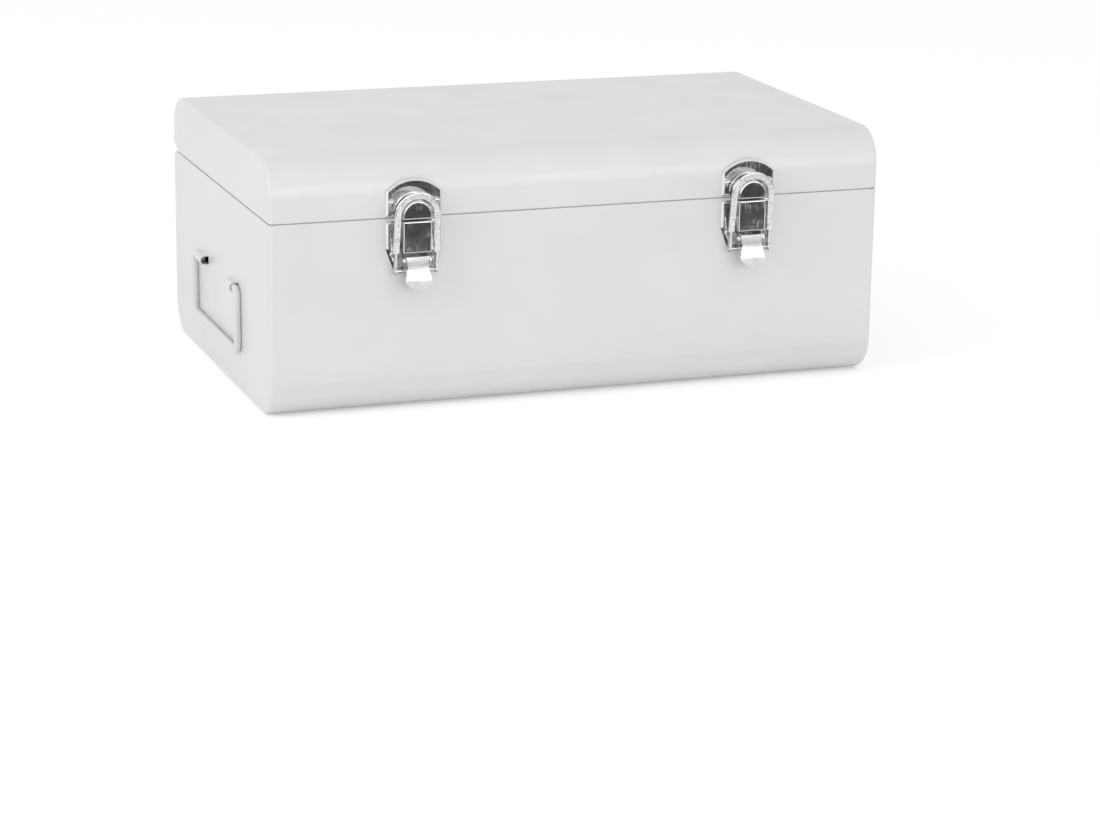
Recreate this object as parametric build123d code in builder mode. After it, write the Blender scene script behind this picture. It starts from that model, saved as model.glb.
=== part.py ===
"""A small sheet-metal trunk with a hinged lid, two draw latches and two drop handles.

The origin is the centre of the bottom face. X runs along the trunk, the front faces -Y, +Z is up.
All sizes are in millimetres.
"""

from build123d import *
from math import asin, cos, radians, sin, tan
import os

os.makedirs("parts", exist_ok=True)

# ---------------------------------------------------------------- trunk
length = 500.0
depth = 310.0
height = 200.0
lid_height = 47.0
sheet = 0.7
seam_gap = 1.0
roll_radius = 28.0
end_edge_radius = 2.8
end_edge_depth = 3.0
end_flange_width = 12.0

# V groove along the back of the seam, where the hinge knuckles lie
groove_depth = 12.0
groove_rise = 3.5
groove_drop = 1.6
groove_bend_radius = 2.2

# rim inside the mouth of the body
rim_below_seam = 22.0
rim_above_seam = 8.5
rim_corner_radius = 6.0
rim_clearance = 0.4
rim_step = 0.9
rim_rear_gap = 5.0

# drop handles and the bridges that hold them
rod_radius = 2.75
rod_stand_off = 0.35
rod_clearance = 0.45
handle_width = 139.2
handle_drop = 49.5
handle_shift = 4.0
handle_pivot_height = 83.0
handle_top_bend = 7.0
handle_bottom_bend = 6.0
bridge_length = 18.5
bridge_spacing = 96.0
bridge_root_radius = 1.2
rod_end_recess = 5.5

# latch plates: the keeper on the lid and the base on the body
latch_spacing = 275.0
plate_width = 44.0
plate_proud = 2.2
plate_sheet = 1.0
plate_bevel = 1.6
keeper_gap = 1.3
keeper_shoulder = 20.5
keeper_crown = 29.8
pad_radius = 16.2
pad_shoulder = 3.2
pad_proud = 1.2
catch_width = 22.4
catch_height = 14.4
catch_low = 0.1
cover_gap = 1.2
cover_drop = 26.0
boss_proud = 12.0
boss_edge_radius = 1.2
base_gap = 2.7
base_taper_drop = 24.0
base_bottom_drop = 43.0
base_bottom_width = 30.0
base_corner_radius = 4.0

# rivets
rivet_head_radius = 2.5
rivet_head_height = 1.4
keeper_rivet_head_radius = 3.1
keeper_rivet_head_height = 2.4
rivet_hollow_radius = 1.1
rivet_hollow_depth = 0.9
rivet_shank_radius = 1.4
rivet_tail_radius = 2.0
rivet_tail_height = 0.7
keeper_rivet_spacing = 35.2
keeper_rivet_rise = 11.8
base_rivet_spacing = 34.0
base_rivet_drop = 28.0

# latch lever
pin_radius = 1.5
pin_clearance = 0.06
pivot_out = 8.5
pivot_drop = 32.0
knuckle_radius = 3.0
lever_sheet = 1.2
tongue_top_out = 12.4
tongue_top_drop = 28.7
lever_lean = 10.0
lever_hollow = 0.5
lever_waist_in = 0.8
lever_waist = 18.6
lever_tip_width = 21.8
lever_tip_drop = 53.0
lip_drop = 47.0
lip_out = 3.4
flange_tip_depth = 3.0
ear_clearance = 0.4
ear_sheet = 1.4
ear_radius = 3.2
ear_foot = 11.0
pin_overhang = 0.8

# latch bail
bail_pivot_out = 5.5
bail_pivot_drop = 40.5
bail_width = 37.7
bail_opening = 27.2
bail_crown = 5.6
bail_crown_width = 36.2
bail_crown_rise = 2.0
bail_edge_radius = 1.0
bail_sheet = 1.5
bail_arm_sheet = 1.4
bail_arm_radius = 2.8
bail_leg_end = 15.0
bail_arm_overlap = 9.0
bail_catch_gap = 0.3
bail_back = 1.6

# hinges
hinge_spacing = 300.0
hinge_length = 60.0
hinge_axis_inset = 1.6
hinge_axis_rise = 0.6
hinge_sheet = 0.9
hinge_pin_radius = 1.1
hinge_pin_clearance = 0.05
hinge_knuckle_radius = 2.3
hinge_knuckle_gap = 0.4
hinge_body_leaf = 24.0
hinge_lid_leaf = 16.0
hinge_rivet_pitch = 20.0
hinge_notch_clearance = 0.7
hinge_pin_head_radius = 1.9
hinge_pin_head_height = 0.8

# ---------------------------------------------------------------- places worked out from the sizes
half_length = length / 2
half_depth = depth / 2
wrap_half_length = half_length - end_edge_depth
seam_height = height - lid_height
body_top = seam_height - seam_gap / 2
lid_bottom = seam_height + seam_gap / 2
ledge_edge = half_depth - groove_depth
body_back_top = body_top - groove_drop
lid_back_bottom = lid_bottom + groove_rise
hinge_y = half_depth - hinge_axis_inset
hinge_z = seam_height + hinge_axis_rise
rim_bottom = seam_height - rim_below_seam
rim_top = seam_height + rim_above_seam
rod_offset = rod_radius + rod_stand_off
hinge_centres = (-hinge_spacing / 2, hinge_spacing / 2)
latch_centres = (-latch_spacing / 2, latch_spacing / 2)
sides = ("left", "right")
cut_past = 5.0


def bend_radius(radius, inset):
    """the radius of a bend at a surface that lies deeper in the sheet"""
    return max(radius - inset, 0.3)


# ---------------------------------------------------------------- trunk outlines, seen along X
def side_outline(points, roll_level, back_corner, inset):
    """closed outline with its rolled edges and the small bend at the back of the seam"""
    with BuildSketch() as outline:
        with BuildLine():
            Polyline(*points, close=True)
        make_face()
        rolls = outline.vertices().filter_by(lambda corner: abs(corner.Y - roll_level) < 0.01)
        fillet(rolls, bend_radius(roll_radius, inset))
        bend = outline.vertices().sort_by_distance((half_depth - inset, back_corner))[0]
        fillet(bend, bend_radius(groove_bend_radius, inset))
    return outline.sketch


def body_outline(inset=0.0, past_mouth=0.0):
    """the body, inset from its outer face; a cut runs on past its open top"""
    points = [
        (-half_depth + inset, body_top + past_mouth),
        (-half_depth + inset, inset),
        (half_depth - inset, inset),
        (half_depth - inset, body_back_top - inset),
        (ledge_edge, body_top - inset),
    ]
    if inset + past_mouth > 0:
        points.append((ledge_edge, body_top + past_mouth))
    return side_outline(points, inset, body_back_top - inset, inset)


def lid_outline(inset=0.0, past_mouth=0.0):
    """the lid, inset from its outer face; a cut runs on past its open bottom"""
    points = [
        (-half_depth + inset, lid_bottom - past_mouth),
        (-half_depth + inset, height - inset),
        (half_depth - inset, height - inset),
        (half_depth - inset, lid_back_bottom + inset),
        (ledge_edge, lid_bottom + inset),
    ]
    if inset + past_mouth > 0:
        points.append((ledge_edge, lid_bottom - past_mouth))
    return side_outline(points, height - inset, lid_back_bottom + inset, inset)


# ---------------------------------------------------------------- rivets
def rivet(grip, head_radius=rivet_head_radius, head_height=rivet_head_height):
    """domed tubular rivet along +Z, with its head on Z = 0, a hollow in it, and its tail past the grip"""
    with BuildPart() as one:
        with BuildSketch(Plane.XZ):
            with BuildLine():
                Polyline(
                    (head_radius, 0),
                    (rivet_shank_radius, 0),
                    (rivet_shank_radius, -grip),
                    (rivet_tail_radius, -grip),
                    (rivet_tail_radius, -grip - rivet_tail_height),
                    (0, -grip - rivet_tail_height),
                    (0, head_height - rivet_hollow_depth),
                    (rivet_hollow_radius * 0.7, head_height - rivet_hollow_depth),
                    (rivet_hollow_radius, head_height),
                )
                ThreePointArc(
                    (rivet_hollow_radius, head_height),
                    (head_radius * 0.8, head_height * 0.72),
                    (head_radius, 0),
                )
            make_face()
        revolve(axis=Axis.Z)
    return one.part


def front_places(centre, spacing, z, out=0.0):
    """a pair of places on the front, pointing outwards"""
    return [
        Location(Plane(origin=(x, -half_depth - out, z), x_dir=(1, 0, 0), z_dir=(0, -1, 0)))
        for x in (centre - spacing / 2, centre + spacing / 2)
    ]


def back_places(centre, z):
    """a row of three places on the back, pointing outwards"""
    return [
        Location(Plane(origin=(x, half_depth, z), x_dir=(-1, 0, 0), z_dir=(0, 1, 0)))
        for x in (centre - hinge_rivet_pitch, centre, centre + hinge_rivet_pitch)
    ]


keeper_rivet_z = seam_height + keeper_rivet_rise
base_rivet_z = seam_height - base_rivet_drop
body_hinge_rivet_z = hinge_z - hinge_body_leaf * 0.62
lid_hinge_rivet_z = hinge_z + hinge_lid_leaf * 0.66


def rivet_holes(places):
    """holes through a sheet at each place"""
    with Locations(*places):
        Cylinder(rivet_shank_radius, 2 * cut_past, mode=Mode.SUBTRACT)


def hinge_notches(low, high):
    """room in the back edge of a sheet for the hinge knuckles and leaves"""
    inner = hinge_y - hinge_knuckle_radius - hinge_pin_clearance
    for centre in hinge_centres:
        with Locations((centre, (inner + half_depth + cut_past) / 2, (low + high) / 2)):
            Box(
                hinge_length + 2 * hinge_notch_clearance + 2 * hinge_pin_head_height,
                half_depth + cut_past - inner,
                high - low,
                mode=Mode.SUBTRACT,
            )


# ---------------------------------------------------------------- wrapped sheets
with BuildPart() as body_wrap:
    with BuildSketch(Plane.YZ):
        add(body_outline())
        add(body_outline(sheet, cut_past), mode=Mode.SUBTRACT)
    extrude(amount=wrap_half_length, both=True)
    hinge_notches(body_back_top - sheet - groove_bend_radius, body_top + cut_past)
    for centre in latch_centres:
        rivet_holes(front_places(centre, base_rivet_spacing, base_rivet_z))
    for centre in hinge_centres:
        rivet_holes(back_places(centre, body_hinge_rivet_z))
body_wrap.part.label = "body_wrap"
export_step(body_wrap.part, "parts/body_wrap.step")

with BuildPart() as lid_wrap:
    with BuildSketch(Plane.YZ):
        add(lid_outline())
        add(lid_outline(sheet, cut_past), mode=Mode.SUBTRACT)
    extrude(amount=wrap_half_length, both=True)
    hinge_notches(lid_bottom - cut_past, lid_back_bottom + sheet + groove_bend_radius)
    for centre in latch_centres:
        rivet_holes(front_places(centre, keeper_rivet_spacing, keeper_rivet_z))
    for centre in hinge_centres:
        rivet_holes(back_places(centre, lid_hinge_rivet_z))
lid_wrap.part.label = "lid_wrap"
export_step(lid_wrap.part, "parts/lid_wrap.step")


# ---------------------------------------------------------------- end panels
def end_panel(outline, mouth_level):
    """drawn end panel at +X: a face with a rounded edge, and a flange that lies inside the wrap"""
    flange_start = half_length - end_flange_width
    with BuildPart() as panel:
        with BuildSketch(Plane.YZ.offset(wrap_half_length)):
            add(outline())
        extrude(amount=end_edge_depth)
        face_edges = panel.faces().sort_by(Axis.X)[-1].edges()
        fillet(face_edges.filter_by(lambda edge: abs(edge.center().Z - mouth_level) > 0.01), end_edge_radius)
        with BuildSketch(Plane.YZ.offset(flange_start)):
            add(outline(sheet))
        extrude(amount=end_flange_width - end_edge_depth)
        with BuildSketch(Plane.YZ.offset(flange_start)):
            add(outline(2 * sheet, cut_past))
        extrude(amount=end_flange_width - sheet, mode=Mode.SUBTRACT)
    return panel.part


bridge_bore = rod_radius + rod_clearance
bridge_outer = bridge_bore + sheet

with BuildPart() as body_end_right:
    add(end_panel(body_outline, body_top))
    # the flange stops below the rim
    with Locations((wrap_half_length - end_flange_width / 2, 0, rim_bottom)):
        Box(
            end_flange_width,
            depth,
            rim_below_seam + cut_past,
            align=(Align.CENTER, Align.CENTER, Align.MIN),
            mode=Mode.SUBTRACT,
        )
    for y in (-bridge_spacing / 2, bridge_spacing / 2):
        bridge_plane = Plane(origin=(half_length, y, handle_pivot_height), x_dir=(1, 0, 0), z_dir=(0, -1, 0))
        with BuildSketch(bridge_plane):
            with Locations((-sheet / 2, 0)):
                Rectangle(rod_offset + sheet / 2, 2 * bridge_outer, align=(Align.MIN, Align.CENTER))
            with Locations((rod_offset, 0)):
                Circle(bridge_outer)
        extrude(amount=bridge_length / 2, both=True)
    roots = body_end_right.edges().filter_by(Axis.Y).filter_by(
        lambda edge: abs(edge.center().X - half_length) < 0.01
        and abs(abs(edge.center().Z - handle_pivot_height) - bridge_outer) < 0.01
        and abs(edge.length - bridge_length) < 0.01
    )
    fillet(roots, bridge_root_radius)
    # the sheet is pushed out of the panel, so the bridge is open behind and at both its ends
    for y in (-bridge_spacing / 2, bridge_spacing / 2):
        bridge_plane = Plane(origin=(half_length, y, handle_pivot_height), x_dir=(1, 0, 0), z_dir=(0, -1, 0))
        with BuildSketch(bridge_plane):
            with Locations((rod_offset, 0)):
                Rectangle(rod_offset + cut_past, 2 * bridge_bore, align=(Align.MAX, Align.CENTER))
                Circle(bridge_bore)
        extrude(amount=bridge_length / 2, both=True, mode=Mode.SUBTRACT)
body_end_right.part.label = "body_end_right"
export_step(body_end_right.part, "parts/body_end_right.step")

with BuildPart() as body_end_left:
    mirror(body_end_right.part, about=Plane.YZ)
body_end_left.part.label = "body_end_left"
export_step(body_end_left.part, "parts/body_end_left.step")

with BuildPart() as lid_end_right:
    add(end_panel(lid_outline, lid_bottom))
lid_end_right.part.label = "lid_end_right"
export_step(lid_end_right.part, "parts/lid_end_right.step")

with BuildPart() as lid_end_left:
    mirror(lid_end_right.part, about=Plane.YZ)
lid_end_left.part.label = "lid_end_left"
export_step(lid_end_left.part, "parts/lid_end_left.step")


# ---------------------------------------------------------------- rim inside the mouth
def rim_plan(inset, past_rear=0.0):
    """the rim seen from above, inset from the trunk's outer face, with rounded front corners"""
    rear = ledge_edge - rim_rear_gap + past_rear
    with BuildSketch() as plan:
        with BuildLine():
            Polyline(
                (-half_length + inset, rear),
                (-half_length + inset, -half_depth + inset),
                (half_length - inset, -half_depth + inset),
                (half_length - inset, rear),
                close=True,
            )
        make_face()
        fillet(plan.vertices().group_by(Axis.Y)[0], bend_radius(rim_corner_radius, inset - sheet))
    return plan.sketch


def rim_band(outer, inner, low, high):
    """one level of the rim between two insets"""
    with BuildPart() as band:
        with BuildSketch(Plane.XY.offset(low)):
            add(rim_plan(outer))
            add(rim_plan(inner, cut_past), mode=Mode.SUBTRACT)
        extrude(amount=high - low)
    return band.part


rim_tongue_inset = 2 * sheet + rim_clearance
rim_step_top = body_top - sheet

with BuildPart() as body_rim:
    add(rim_band(sheet, 2 * sheet, rim_bottom, rim_step_top))
    add(rim_band(sheet, rim_tongue_inset + sheet, rim_step_top - rim_step, rim_step_top))
    add(rim_band(rim_tongue_inset, rim_tongue_inset + sheet, rim_step_top - rim_step, rim_top))
body_rim.part.label = "body_rim"
export_step(body_rim.part, "parts/body_rim.step")

# ---------------------------------------------------------------- drop handles
# A handle slides a little in its bridges, and both lie pushed to the back.
front_leg_y = handle_shift - handle_width / 2
rear_leg_y = handle_shift + handle_width / 2
rod_end_y = bridge_spacing / 2 - bridge_length / 2 + rod_end_recess
bar_z = handle_pivot_height - handle_drop
rod_x = half_length + rod_offset

with BuildPart() as handle_right:
    with BuildLine() as rod_path:
        FilletPolyline(
            (rod_x, handle_shift - rod_end_y, handle_pivot_height),
            (rod_x, front_leg_y, handle_pivot_height),
            (rod_x, front_leg_y, bar_z),
            (rod_x, rear_leg_y, bar_z),
            (rod_x, rear_leg_y, handle_pivot_height),
            (rod_x, handle_shift + rod_end_y, handle_pivot_height),
            radius=(handle_top_bend, handle_bottom_bend, handle_bottom_bend, handle_top_bend),
        )
    with BuildSketch(Plane(origin=rod_path.line @ 0, z_dir=rod_path.line % 0)):
        Circle(rod_radius)
    sweep()
handle_right.part.label = "handle_right"
export_step(handle_right.part, "parts/handle_right.step")

with BuildPart() as handle_left:
    mirror(handle_right.part, about=Plane.YZ)
handle_left.part.label = "handle_left"
export_step(handle_left.part, "parts/handle_left.step")

# ---------------------------------------------------------------- latches
# The bail leans out until its crown clears the catch on the lid.
crown_length = bail_pivot_drop + catch_height
crown_out = boss_proud + bail_catch_gap
bail_lean = asin((crown_out - bail_pivot_out - bail_back) / crown_length)
lever_half_width = lever_waist / 2
ear_inner = lever_half_width + ear_clearance
ear_outer = ear_inner + ear_sheet
bail_arm_centre = (bail_width + bail_opening) / 4
bail_arm_outer = bail_arm_centre + bail_arm_sheet / 2
running_radius = pin_radius + pin_clearance


def front_plane(centre, out=0.0):
    """sketch plane on the front at a latch: local x to the right, local y up from the seam"""
    return Plane(origin=(centre, -half_depth - out, seam_height), x_dir=(1, 0, 0), z_dir=(0, -1, 0))


def section_plane(x):
    """sketch plane across a latch: local x outwards from the front, local y up from the seam"""
    return Plane(origin=(x, -half_depth, seam_height), x_dir=(0, -1, 0), z_dir=(-1, 0, 0))


def bail_plane(centre):
    """sketch plane of the leaning bail: local x to the right, local y up from its pin"""
    return Plane(
        origin=(centre, -half_depth - bail_pivot_out, seam_height - bail_pivot_drop),
        x_dir=(1, 0, 0),
        z_dir=(0, -cos(bail_lean), -sin(bail_lean)),
    )


def arched_outline(width, low, shoulder, crown):
    """plate with straight sides and an arched top"""
    with BuildSketch() as outline:
        with BuildLine():
            Polyline((-width / 2, shoulder), (-width / 2, low), (width / 2, low), (width / 2, shoulder))
            ThreePointArc((-width / 2, shoulder), (0, crown), (width / 2, shoulder))
        make_face()
    return outline.sketch


def bail_outline(foot, crown_width, low, crown):
    """legs that spread a little from a round crown down to their foot"""
    with BuildSketch() as outline:
        with Locations((0, crown - crown_width / 2)):
            Circle(crown_width / 2)
        with Locations((0, low)):
            Rectangle(foot, bail_sheet, align=(Align.CENTER, Align.MIN))
        make_hull()
    return outline.sketch


def catch_outline(inset=0.0):
    """the catch: round at the top, flat just above the seam"""
    radius = catch_width / 2 - inset
    low = catch_low + inset
    shoulder = catch_height - catch_width / 2
    return arched_outline(2 * radius, low, shoulder, shoulder + radius)


def cover_outline(inset=0.0):
    """the cover below the catch: the same width, square ended"""
    with BuildSketch() as outline:
        with Locations((0, -(cover_gap + cover_drop) / 2)):
            Rectangle(catch_width - 2 * inset, cover_drop - cover_gap - 2 * inset)
    return outline.sketch


def base_outline(inset=0.0):
    """base plate: straight sides that taper in to a narrow bottom edge"""
    with BuildSketch() as outline:
        with BuildLine():
            Polyline(
                (-plate_width / 2 + inset, -base_gap - inset),
                (-plate_width / 2 + inset, -base_taper_drop),
                (-base_bottom_width / 2 + inset, -base_bottom_drop + inset),
                (base_bottom_width / 2 - inset, -base_bottom_drop + inset),
                (plate_width / 2 - inset, -base_taper_drop),
                (plate_width / 2 - inset, -base_gap - inset),
                close=True,
            )
        make_face()
        fillet(outline.vertices().group_by(Axis.Y)[0:2], bend_radius(base_corner_radius, inset))
    return outline.sketch


def keeper_outline(inset=0.0):
    """keeper plate: straight sides and an arched top"""
    half = plate_width / 2 - inset
    return arched_outline(2 * half, keeper_gap + inset, keeper_shoulder - inset, keeper_crown - inset)


def drawn_plate(centre, plate, boss):
    """plate with turned-back edges and a raised boss, both hollow behind"""
    with BuildPart() as drawn:
        with BuildSketch(front_plane(centre)):
            add(plate())
        extrude(amount=plate_proud)
        chamfer(drawn.faces().sort_by(Axis.Y)[0].edges(), plate_bevel)
        with BuildSketch(front_plane(centre)):
            add(boss())
        extrude(amount=boss_proud)
        fillet(drawn.faces().sort_by(Axis.Y)[0].edges(), boss_edge_radius)
        with BuildSketch(front_plane(centre)):
            add(plate(plate_sheet + plate_bevel / 2))
        extrude(amount=plate_proud - plate_sheet, mode=Mode.SUBTRACT)
        with BuildSketch(front_plane(centre)):
            add(boss(plate_sheet))
        extrude(amount=boss_proud - plate_sheet, mode=Mode.SUBTRACT)
    return drawn.part


lip_start_out = tongue_top_out + (lip_drop - tongue_top_drop) * tan(radians(lever_lean))


def lever_section():
    """side view of the lever's tongue: it leans out, and its lip curls further out"""
    with BuildSketch() as section:
        with BuildLine():
            top = (tongue_top_out, -tongue_top_drop)
            middle = (
                (tongue_top_out + lip_start_out) / 2 - lever_hollow,
                -(tongue_top_drop + lip_drop) / 2,
            )
            lip = (lip_start_out, -lip_drop)
            tip = (lip_start_out + lip_out, -lever_tip_drop)
            face = Spline(top, middle, lip, tip)
            inner_face = Spline(*[(x - lever_sheet, y) for x, y in (top, middle, lip, tip)])
            Line(face @ 0, inner_face @ 0)
            Line(face @ 1, inner_face @ 1)
        make_face()
    return section.sketch


def lever_outline():
    """front view of the tongue: narrow waist, flared sides, rounded tip"""
    tip = lever_tip_width / 2
    side_x = lever_half_width
    waist = side_x - lever_waist_in
    waist_drop = (tongue_top_drop + lip_drop) / 2
    with BuildSketch() as outline:
        with BuildLine():
            Line((-side_x, -tongue_top_drop), (side_x, -tongue_top_drop))
            right = Spline((side_x, -tongue_top_drop), (waist, -waist_drop), (tip, -lip_drop))
            left = Spline((-side_x, -tongue_top_drop), (-waist, -waist_drop), (-tip, -lip_drop))
            ThreePointArc(right @ 1, (0, -lever_tip_drop), left @ 1)
        make_face()
    return outline.sketch


def flange_section():
    """side view of a flange: it runs back from the tongue to both pins"""
    with BuildSketch() as section:
        with Locations(pivot_local):
            Circle(knuckle_radius)
        with Locations(bail_pivot_local):
            Circle(bail_arm_radius)
        make_hull()
        with BuildLine():
            Polyline(
                (pivot_out, -pivot_drop + knuckle_radius),
                (tongue_top_out - lever_sheet / 2, -tongue_top_drop),
                (tongue_top_out - lever_sheet / 2, -(tongue_top_drop + lip_drop) / 2),
                (lip_start_out - lever_sheet / 2, -lip_drop),
                (lip_start_out - flange_tip_depth, -lip_drop + lever_sheet),
                (bail_pivot_out, -bail_pivot_drop - bail_arm_radius),
                (bail_pivot_out, -bail_pivot_drop),
                (pivot_out, -pivot_drop),
                close=True,
            )
        make_face()
        with Locations(pivot_local, bail_pivot_local):
            Circle(running_radius, mode=Mode.SUBTRACT)
    return section.sketch


pivot_local = (pivot_out, -pivot_drop)
bail_pivot_local = (bail_pivot_out, -bail_pivot_drop)

for side, centre in zip(sides, latch_centres):
    with BuildPart() as keeper:
        add(drawn_plate(centre, keeper_outline, catch_outline))
        # shallow raised pad round the catch
        with BuildSketch(front_plane(centre, plate_proud - plate_sheet / 2)):
            add(arched_outline(2 * pad_radius, keeper_gap + plate_sheet, pad_shoulder, pad_shoulder + pad_radius))
            add(catch_outline(plate_sheet), mode=Mode.SUBTRACT)
        extrude(amount=pad_proud + plate_sheet / 2)
        rivet_holes(front_places(centre, keeper_rivet_spacing, keeper_rivet_z))
    keeper.part.label = f"keeper_{side}"
    export_step(keeper.part, f"parts/keeper_{side}.step")

    with BuildPart() as keeper_rivets:
        with Locations(*front_places(centre, keeper_rivet_spacing, keeper_rivet_z, plate_proud)):
            add(rivet(plate_proud + sheet, keeper_rivet_head_radius, keeper_rivet_head_height))
    keeper_rivets.part.label = f"keeper_rivets_{side}"
    export_step(keeper_rivets.part, f"parts/keeper_rivets_{side}.step")

    with BuildPart() as latch_base:
        add(drawn_plate(centre, base_outline, cover_outline))
        # two ears for the lever's pin
        for ear_x in (centre - (ear_inner + ear_outer) / 2, centre + (ear_inner + ear_outer) / 2):
            with BuildSketch(section_plane(ear_x)):
                with BuildLine():
                    foot_out = plate_proud - plate_sheet / 2
                    Polyline(
                        (pivot_out, -pivot_drop + ear_radius),
                        (foot_out, -pivot_drop + ear_foot / 2),
                        (foot_out, -pivot_drop - ear_foot / 2),
                        (pivot_out, -pivot_drop - ear_radius),
                    )
                    ThreePointArc(
                        (pivot_out, -pivot_drop - ear_radius),
                        (pivot_out + ear_radius, -pivot_drop),
                        (pivot_out, -pivot_drop + ear_radius),
                    )
                make_face()
                with Locations(pivot_local):
                    Circle(pin_radius, mode=Mode.SUBTRACT)
            extrude(amount=ear_sheet / 2, both=True)
        rivet_holes(front_places(centre, base_rivet_spacing, base_rivet_z))
    latch_base.part.label = f"latch_base_{side}"
    export_step(latch_base.part, f"parts/latch_base_{side}.step")

    with BuildPart() as base_rivets:
        with Locations(*front_places(centre, base_rivet_spacing, base_rivet_z, plate_proud)):
            add(rivet(plate_proud + sheet))
    base_rivets.part.label = f"latch_base_rivets_{side}"
    export_step(base_rivets.part, f"parts/latch_base_rivets_{side}.step")

    with BuildPart() as lever_pin:
        with BuildSketch(section_plane(centre)):
            with Locations(pivot_local):
                Circle(pin_radius)
        extrude(amount=ear_outer + pin_overhang, both=True)
        fillet(lever_pin.edges().filter_by(GeomType.CIRCLE), pin_radius * 0.4)
    lever_pin.part.label = f"lever_pin_{side}"
    export_step(lever_pin.part, f"parts/lever_pin_{side}.step")

    with BuildPart() as lever:
        with BuildSketch(section_plane(centre)):
            add(lever_section())
        extrude(amount=lever_tip_width, both=True)
        with BuildSketch(front_plane(centre)):
            add(lever_outline())
        extrude(amount=2 * boss_proud, mode=Mode.INTERSECT)
        # its edges are turned back into flanges that carry both pins
        for flange_x in (centre - lever_half_width + lever_sheet / 2, centre + lever_half_width - lever_sheet / 2):
            with BuildSketch(section_plane(flange_x)):
                add(flange_section())
            extrude(amount=lever_sheet / 2, both=True)
    lever.part.label = f"latch_lever_{side}"
    export_step(lever.part, f"parts/latch_lever_{side}.step")

    with BuildPart() as bail:
        opening_top = crown_length + bail_crown_rise
        crown = opening_top + bail_crown
        crown_opening = bail_opening - bail_width + bail_crown_width
        with BuildSketch(bail_plane(centre).offset(bail_back)):
            add(bail_outline(bail_width, bail_crown_width, bail_leg_end, crown))
            add(bail_outline(bail_opening, crown_opening, bail_leg_end, opening_top), mode=Mode.SUBTRACT)
        extrude(amount=bail_sheet)
        outwards = Axis((0, 0, 0), bail_plane(centre).z_dir)
        front_edges = bail.faces().sort_by(outwards)[-1].edges()
        fillet(front_edges.filter_by(lambda edge: edge.length > bail_opening / 2), bail_edge_radius)
        # arms turned back at the end of each leg, down to the pin
        for arm_x in (-bail_arm_centre, bail_arm_centre):
            plane = bail_plane(centre)
            arm_plane = Plane(origin=plane.from_local_coords((arm_x, 0, 0)), x_dir=plane.z_dir, z_dir=-plane.x_dir)
            with BuildSketch(arm_plane):
                with BuildLine():
                    arm_front = bail_back + bail_sheet / 2
                    Polyline(
                        (-bail_arm_radius, 0),
                        (0, bail_leg_end),
                        (bail_back, bail_leg_end + bail_arm_overlap),
                        (arm_front, bail_leg_end + bail_arm_overlap),
                        (arm_front, bail_leg_end - 2.0),
                        (bail_arm_radius, 0),
                    )
                    ThreePointArc((bail_arm_radius, 0), (0, -bail_arm_radius), (-bail_arm_radius, 0))
                make_face()
                Circle(pin_radius, mode=Mode.SUBTRACT)
            extrude(amount=bail_arm_sheet / 2, both=True)
    bail.part.label = f"latch_bail_{side}"
    export_step(bail.part, f"parts/latch_bail_{side}.step")

    with BuildPart() as bail_pin:
        with BuildSketch(section_plane(centre)):
            with Locations(bail_pivot_local):
                Circle(pin_radius)
        extrude(amount=bail_arm_outer + pin_overhang, both=True)
        fillet(bail_pin.edges().filter_by(GeomType.CIRCLE), pin_radius * 0.4)
    bail_pin.part.label = f"bail_pin_{side}"
    export_step(bail_pin.part, f"parts/bail_pin_{side}.step")


# ---------------------------------------------------------------- hinges
knuckle_length = hinge_length / 3
leaf_y = half_depth - sheet - hinge_sheet / 2


def hinge_section(tip):
    """a leaf seen along X with its knuckle; tip is the far edge of the leaf"""
    with BuildSketch() as section:
        with Locations((hinge_y, hinge_z)):
            Circle(hinge_knuckle_radius)
        with Locations((leaf_y, (hinge_z + tip) / 2)):
            Rectangle(hinge_sheet, abs(tip - hinge_z))
        with Locations((hinge_y, hinge_z)):
            Circle(hinge_pin_radius + hinge_pin_clearance, mode=Mode.SUBTRACT)
    return section.sketch


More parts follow.
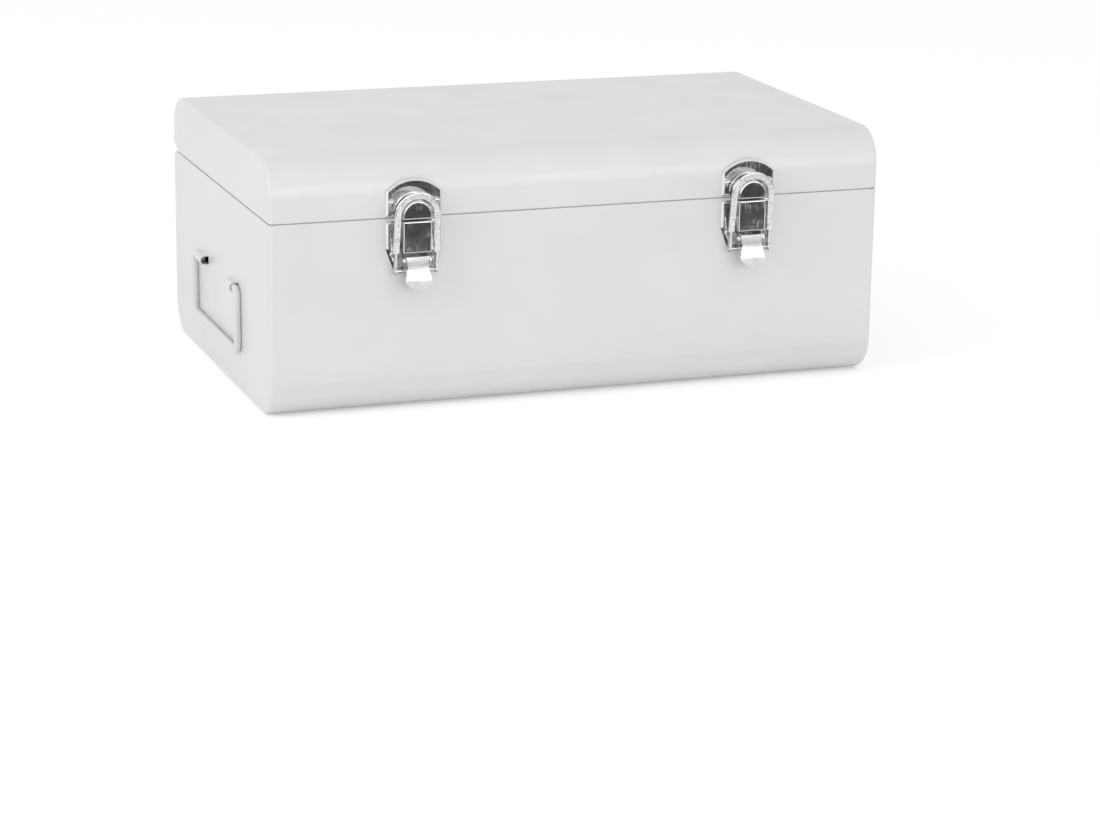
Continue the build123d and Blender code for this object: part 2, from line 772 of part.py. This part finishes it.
for side, centre in zip(sides, hinge_centres):
    with BuildPart() as body_leaf:
        with BuildSketch(Plane.YZ.offset(centre - hinge_length / 2)):
            add(hinge_section(hinge_z - hinge_body_leaf))
        extrude(amount=hinge_length)
        # room for the lid's knuckle
        with Locations((centre, hinge_y, hinge_z)):
            Box(
                knuckle_length + 2 * hinge_knuckle_gap,
                2 * hinge_knuckle_radius + 2 * hinge_knuckle_gap,
                2 * hinge_knuckle_radius + 2 * hinge_knuckle_gap,
                mode=Mode.SUBTRACT,
            )
        rivet_holes(back_places(centre, body_hinge_rivet_z))
    body_leaf.part.label = f"hinge_body_leaf_{side}"
    export_step(body_leaf.part, f"parts/hinge_body_leaf_{side}.step")

    with BuildPart() as lid_leaf:
        with BuildSketch(Plane.YZ.offset(centre - hinge_length / 2)):
            add(hinge_section(hinge_z + hinge_lid_leaf))
        extrude(amount=hinge_length)
        # room for the body's two knuckles
        outer_length = knuckle_length + hinge_knuckle_gap
        for knuckle_x in (centre - hinge_length / 2 + knuckle_length / 2, centre + hinge_length / 2 - knuckle_length / 2):
            with Locations((knuckle_x, hinge_y, hinge_z)):
                Box(
                    outer_length,
                    2 * hinge_knuckle_radius + 2 * hinge_knuckle_gap,
                    2 * hinge_knuckle_radius + 2 * hinge_knuckle_gap,
                    mode=Mode.SUBTRACT,
                )
        rivet_holes(back_places(centre, lid_hinge_rivet_z))
    lid_leaf.part.label = f"hinge_lid_leaf_{side}"
    export_step(lid_leaf.part, f"parts/hinge_lid_leaf_{side}.step")

    with BuildPart() as hinge_pin:
        with BuildSketch(Plane.YZ.offset(centre)):
            with Locations((hinge_y, hinge_z)):
                Circle(hinge_pin_radius)
        extrude(amount=hinge_length / 2, both=True)
        for plane in (Plane.YZ.offset(centre + hinge_length / 2), -Plane.YZ.offset(centre - hinge_length / 2)):
            with Locations(Location(Plane(origin=(plane.origin.X, hinge_y, hinge_z), z_dir=plane.z_dir))):
                Cylinder(
                    hinge_pin_head_radius,
                    hinge_pin_head_height,
                    align=(Align.CENTER, Align.CENTER, Align.MIN),
                )
    hinge_pin.part.label = f"hinge_pin_{side}"
    export_step(hinge_pin.part, f"parts/hinge_pin_{side}.step")

    for owner, rivet_z in (("body", body_hinge_rivet_z), ("lid", lid_hinge_rivet_z)):
        with BuildPart() as hinge_rivets:
            with Locations(*back_places(centre, rivet_z)):
                add(rivet(sheet + hinge_sheet))
        hinge_rivets.part.label = f"hinge_{owner}_rivets_{side}"
        export_step(hinge_rivets.part, f"parts/hinge_{owner}_rivets_{side}.step")
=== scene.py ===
"""Looks for the small tin trunk: white powder-coated sheet steel with bright-plated draw latches."""
import math

import bmesh
import bpy
from mathutils import Matrix, Vector

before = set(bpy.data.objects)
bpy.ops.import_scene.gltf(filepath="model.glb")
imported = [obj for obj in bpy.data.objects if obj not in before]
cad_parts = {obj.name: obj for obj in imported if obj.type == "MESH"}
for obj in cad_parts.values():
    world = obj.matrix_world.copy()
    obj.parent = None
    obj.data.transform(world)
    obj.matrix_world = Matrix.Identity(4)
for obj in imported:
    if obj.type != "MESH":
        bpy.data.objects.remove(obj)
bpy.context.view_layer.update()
sides = ("left", "right")
mm = 0.001

# real sizes of what the finishes show
coat_cloud_across = 70 * mm
coat_wave_across = 85 * mm
coat_wave_depth = 0.10 * mm
coat_peel_across = 5 * mm
coat_peel_depth = 0.018 * mm
coat_sheen_across = 30 * mm
plate_cloud_across = 6 * mm
plate_wave_across = 9 * mm
plate_pock_across = 0.9 * mm
plate_smear_across = 11 * mm
zinc_spangle_across = 3 * mm
zinc_grain_across = 0.5 * mm
zinc_grain_depth = 0.012 * mm

# studio
floor_half_width = 6.0
floor_glow = 0.30
card_width = 2.4
card_height = 0.17
card_centre = (0.25, -0.62, 0.025)
foot_card_size = (0.9, 0.08)
foot_card_centre = (0.0, -0.215, 0.002)

# the photograph's camera, seen from the front and a little from the left
camera_place = (-0.8301, -2.3627, 0.6586)
camera_yaw = math.radians(20.04)
camera_pitch = math.radians(15.89)
camera_roll = math.radians(-0.86)
camera_lens = 101.95
camera_sensor = 36.0


# ---------------------------------------------------------------- materials

def srgb(code):
    """the linear colour of an sRGB hex value such as "#e4e4e2" """
    levels = [int(code[i:i + 2], 16) / 255 for i in (1, 3, 5)]
    return [v / 12.92 if v <= 0.04045 else ((v + 0.055) / 1.055) ** 2.4 for v in levels] + [1.0]


def node(tree, kind, settings=None, links=None):
    """adds one node: settings are its own properties or unlinked sockets, links are sockets fed by others"""
    made = tree.nodes.new(kind)
    for key, value in (settings or {}).items():
        if isinstance(key, str) and hasattr(made, key):
            setattr(made, key, value)
        else:
            made.inputs[key].default_value = value
    for key, source in (links or {}).items():
        tree.links.new(source, made.inputs[key])
    return made


def new_material(name):
    """an empty material and its tree"""
    material = bpy.data.materials.new(name)
    material.use_nodes = True
    tree = material.node_tree
    tree.nodes.clear()
    return material, tree


def own_place(tree):
    """where a point lies on the object, in metres"""
    return node(tree, "ShaderNodeTexCoord").outputs["Object"]


def grain(tree, place, size, detail=2.0, roughness=0.5, stretch=(1, 1, 1)):
    """noise whose lumps are size metres across, running 0 to 1"""
    turned = node(tree, "ShaderNodeMapping", {"Scale": stretch}, {"Vector": place}).outputs["Vector"]
    return node(tree, "ShaderNodeTexNoise", {"Scale": 1 / size, "Detail": detail, "Roughness": roughness},
                {"Vector": turned}).outputs["Fac"]


def span(tree, value, low, high, to_low, to_high):
    """value between low and high, turned into one between to_low and to_high"""
    return node(tree, "ShaderNodeMapRange", {1: low, 2: high, 3: to_low, 4: to_high}, {0: value}).outputs[0]


def tint(tree, value, first, second):
    """a colour from first to second as value runs 0 to 1"""
    return node(tree, "ShaderNodeMix", {"data_type": "RGBA", 6: srgb(first), 7: srgb(second)}, {0: value}).outputs[2]


def bumps(tree, *layers):
    """stacks bumps, each a height from 0 to 1 and its real depth in metres"""
    normal = None
    for height, depth in layers:
        links = {"Height": height}
        if normal:
            links["Normal"] = normal
        normal = node(tree, "ShaderNodeBump", {"Distance": depth, "Strength": 1.0}, links).outputs["Normal"]
    return normal


def finish_surface(tree, settings, links):
    """the one shader of a material and its output"""
    shader = node(tree, "ShaderNodeBsdfPrincipled", settings, links)
    node(tree, "ShaderNodeOutputMaterial", {}, {"Surface": shader.outputs["BSDF"]})


def white_powder_coat(name, light, dark):
    """Satin polyester powder coat, sprayed and baked: an even grey-white with orange peel and a soft wide sheen. It
    gives the eye a smooth shell whose highlights spread and waver a little. Real peel is 1 to 2 mm across, which the
    render can't show, so it is drawn coarser."""
    material, tree = new_material(name)
    place = own_place(tree)
    cloud = grain(tree, place, coat_cloud_across, 3.0)
    shade = tint(tree, span(tree, cloud, 0.3, 0.7, 0.0, 1.0), light, dark)
    peel = grain(tree, place, coat_peel_across, 1.0)
    wave = grain(tree, place, coat_wave_across, 1.0)
    rough = span(tree, grain(tree, place, coat_sheen_across, 0.0), 0.2, 0.8, 0.29, 0.36)
    normal = bumps(tree, (wave, coat_wave_depth), (peel, coat_peel_depth))
    finish_surface(tree, {"Specular IOR Level": 0.5}, {"Base Color": shade, "Roughness": rough, "Normal": normal})
    return material


def bright_plate(name, light, dark, worn, dent_depth, pock_depth, scratch_depth):
    """Nickel and chrome plate over pressed steel: a mirror with faint press waves, fine rubbing marks and slightly
    duller specks. It gives the eye hard dark and white reflections that bend at each fold."""
    material, tree = new_material(name)
    place = own_place(tree)
    cloud = grain(tree, place, plate_cloud_across, 3.0)
    bright = tint(tree, span(tree, cloud, 0.3, 0.7, 0.0, 1.0), light, dark)
    wave = grain(tree, place, plate_wave_across, 1.0)
    pock = grain(tree, place, plate_pock_across, 2.0)
    shade = node(tree, "ShaderNodeMix", {"data_type": "RGBA", 7: srgb(worn)},
                 {0: span(tree, pock, 0.54, 0.66, 0.0, 1.0), 6: bright}).outputs[2]
    # rubbing marks run up and down the latch, about 0.2 mm wide and 8 mm long, where a hand smears the plate
    rub = grain(tree, place, 1 * mm, 2.0, 0.6, (4.5, 4.5, 0.13))
    marks = span(tree, rub, 0.55, 0.70, 0.0, 1.0)
    smear = span(tree, grain(tree, place, plate_smear_across, 2.0), 0.45, 0.65, 0.0, 1.0)
    scuffs = node(tree, "ShaderNodeMath", {"operation": "MULTIPLY"}, {0: marks, 1: smear}).outputs[0]
    rough = node(tree, "ShaderNodeMath", {"operation": "ADD"},
                 {0: span(tree, pock, 0.3, 0.7, 0.08, 0.16), 1: span(tree, scuffs, 0.0, 1.0, 0.0, 0.30)}).outputs[0]
    normal = bumps(tree, (wave, dent_depth), (pock, pock_depth), (scuffs, scratch_depth))
    finish_surface(tree, {"Metallic": 1.0}, {"Base Color": shade, "Roughness": rough, "Normal": normal})
    return material


def zinc_plate(name, light, dark):
    """Zinc plate on rolled steel strip: grey and satin, with a fine lengthwise grain. It gives the eye a quiet grey
    metal beside the white coat."""
    material, tree = new_material(name)
    place = own_place(tree)
    spangle = grain(tree, place, zinc_spangle_across, 3.0)
    shade = tint(tree, span(tree, spangle, 0.3, 0.7, 0.0, 1.0), light, dark)
    rolled = grain(tree, place, zinc_grain_across, 2.0, 0.6, (0.1, 1.0, 1.0))
    rough = span(tree, rolled, 0.3, 0.7, 0.28, 0.42)
    normal = bumps(tree, (rolled, zinc_grain_depth))
    finish_surface(tree, {"Metallic": 1.0}, {"Base Color": shade, "Roughness": rough, "Normal": normal})
    return material


sheet_coat = white_powder_coat("satin_white_powder_coat_on_sheet", "#e5e5e5", "#e1e1e1")
rod_coat = white_powder_coat("satin_white_powder_coat_on_rod", "#e5e5e5", "#e1e1e1")
plate_chrome = bright_plate("nickel_chrome_plate_on_pressed_steel", "#e4e4e5", "#d8d8da", "#cccccc",
                            0.05 * mm, 0.004 * mm, 0.030 * mm)
bail_chrome = bright_plate("nickel_chrome_plate_on_bail", "#e6e6e6", "#dcdcdd", "#8c8c8e",
                           0.05 * mm, 0.040 * mm, 0.010 * mm)
pin_chrome = bright_plate("nickel_plate_on_pins_and_rivets", "#d6d6d5", "#c8c8c8", "#a8a8a8",
                          0.03 * mm, 0.006 * mm, 0.010 * mm)
hinge_zinc = zinc_plate("zinc_plate_on_hinge_strip", "#c9cacb", "#b6b8ba")

finishes = {name: sheet_coat for name in ("body_wrap", "body_end_left", "body_end_right", "body_rim",
                                          "lid_wrap", "lid_end_left", "lid_end_right")}
for side in sides:
    finishes[f"handle_{side}"] = rod_coat
    for name in ("keeper", "latch_base", "latch_lever"):
        finishes[f"{name}_{side}"] = plate_chrome
    finishes[f"latch_bail_{side}"] = bail_chrome
    for name in ("lever_pin", "bail_pin", "latch_base_rivets", "keeper_rivets"):
        finishes[f"{name}_{side}"] = pin_chrome
    for name in ("hinge_pin", "hinge_body_leaf", "hinge_lid_leaf", "hinge_body_rivets", "hinge_lid_rivets"):
        finishes[f"{name}_{side}"] = hinge_zinc

for name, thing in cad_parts.items():
    if not thing.material_slots:
        thing.data.materials.append(finishes[name])
    for slot in thing.material_slots:
        slot.material = finishes[name]


# ---------------------------------------------------------------- studio

def plain_object(name, mesh_maker):
    """an object whose mesh a bmesh step makes"""
    mesh = bpy.data.meshes.new(name)
    made = bmesh.new()
    mesh_maker(made)
    made.to_mesh(mesh)
    made.free()
    thing = bpy.data.objects.new(name, mesh)
    bpy.context.scene.collection.objects.link(thing)
    return thing


def seen_directly(tree):
    """1 for what the camera sees, also in a mirror, and 0 for the light that falls on things"""
    ray = node(tree, "ShaderNodeLightPath").outputs
    return node(tree, "ShaderNodeMath", {"operation": "MAXIMUM"},
                {0: ray["Is Camera Ray"], 1: ray["Is Glossy Ray"]}).outputs[0]


def two_cards(made):
    """grey cards seen only by mirrors, as a product photographer sets them: one stands in front of the latches, and a
    narrow one lies at the trunk's foot, below the levers' turned-out lips"""
    bmesh.ops.create_grid(made, x_segments=1, y_segments=1, size=0.5, matrix=Matrix.Translation(
        card_centre) @ Matrix.Rotation(math.radians(90), 4, "X") @ Matrix.Diagonal((card_width, card_height, 1, 1)))
    bmesh.ops.create_grid(made, x_segments=1, y_segments=1, size=0.5, matrix=Matrix.Translation(
        foot_card_centre) @ Matrix.Diagonal((*foot_card_size, 1, 1)))


floor = plain_object("studio_floor", lambda made: bmesh.ops.create_grid(
    made, x_segments=1, y_segments=1, size=floor_half_width))
floor_paint, tree = new_material("matt_white_studio_floor")
paper = node(tree, "ShaderNodeBsdfDiffuse", {"Color": srgb("#f4f4f4")})
glow = node(tree, "ShaderNodeEmission", {"Color": srgb("#ffffff")}, {"Strength": span(
    tree, seen_directly(tree), 0.0, 1.0, 0.0, floor_glow)})
both = node(tree, "ShaderNodeAddShader", {}, {0: paper.outputs[0], 1: glow.outputs[0]})
node(tree, "ShaderNodeOutputMaterial", {}, {"Surface": both.outputs[0]})
floor.data.materials.append(floor_paint)

card = plain_object("grey_cards", two_cards)
card_grey, tree = new_material("matt_grey_card")
card_face = node(tree, "ShaderNodeBsdfDiffuse", {"Color": srgb("#464646")})
node(tree, "ShaderNodeOutputMaterial", {}, {"Surface": card_face.outputs[0]})
card.data.materials.append(card_grey)
card.visible_camera = False
card.visible_diffuse = False
card.visible_shadow = False
card.visible_transmission = False

# the room: white to the camera and in mirrors, and bright overhead
world = bpy.data.worlds.new("white_studio")
bpy.context.scene.world = world
world.use_nodes = True
tree = world.node_tree
tree.nodes.clear()
toward = node(tree, "ShaderNodeTexCoord").outputs["Generated"]
height = node(tree, "ShaderNodeSeparateXYZ", {}, {0: toward}).outputs["Z"]
room = tint(tree, span(tree, height, -0.1, 0.9, 0.0, 1.0), "#c8c8c8", "#e6e6e6")
shown = node(tree, "ShaderNodeMix", {"data_type": "RGBA", 7: srgb("#ffffff")},
             {0: seen_directly(tree), 6: room}).outputs[2]
backdrop = node(tree, "ShaderNodeBackground", {"Strength": 1.0}, {"Color": shown})
node(tree, "ShaderNodeOutputWorld", {}, {"Surface": backdrop.outputs[0]})


def softbox(name, place, aim, width, height, watts):
    """a soft rectangular lamp at place, turned to aim"""
    lamp = bpy.data.lights.new(name, "AREA")
    lamp.shape = "RECTANGLE"
    lamp.size = width
    lamp.size_y = height
    lamp.energy = watts
    thing = bpy.data.objects.new(name, lamp)
    thing.location = place
    thing.rotation_euler = (Vector(aim) - Vector(place)).to_track_quat("-Z", "Y").to_euler()
    bpy.context.scene.collection.objects.link(thing)


softbox("softbox_front", (0.3, -2.4, 0.60), (0.0, 0.0, 0.15), 2.4, 0.70, 13.0)
softbox("softbox_left", (-2.0, -0.5, 0.9), (0.0, 0.0, 0.1), 1.2, 1.0, 9.0)

camera = bpy.data.objects.new("photo_camera", bpy.data.cameras.new("photo_camera"))
camera.data.sensor_width = camera_sensor
camera.data.lens = camera_lens
camera.matrix_world = (Matrix.Translation(camera_place) @ Matrix.Rotation(-camera_yaw, 4, "Z")
                       @ Matrix.Rotation(math.pi / 2 - camera_pitch, 4, "X") @ Matrix.Rotation(-camera_roll, 4, "Z"))
bpy.context.scene.collection.objects.link(camera)
bpy.context.scene.camera = camera
bpy.context.scene.view_settings.view_transform = "Standard"
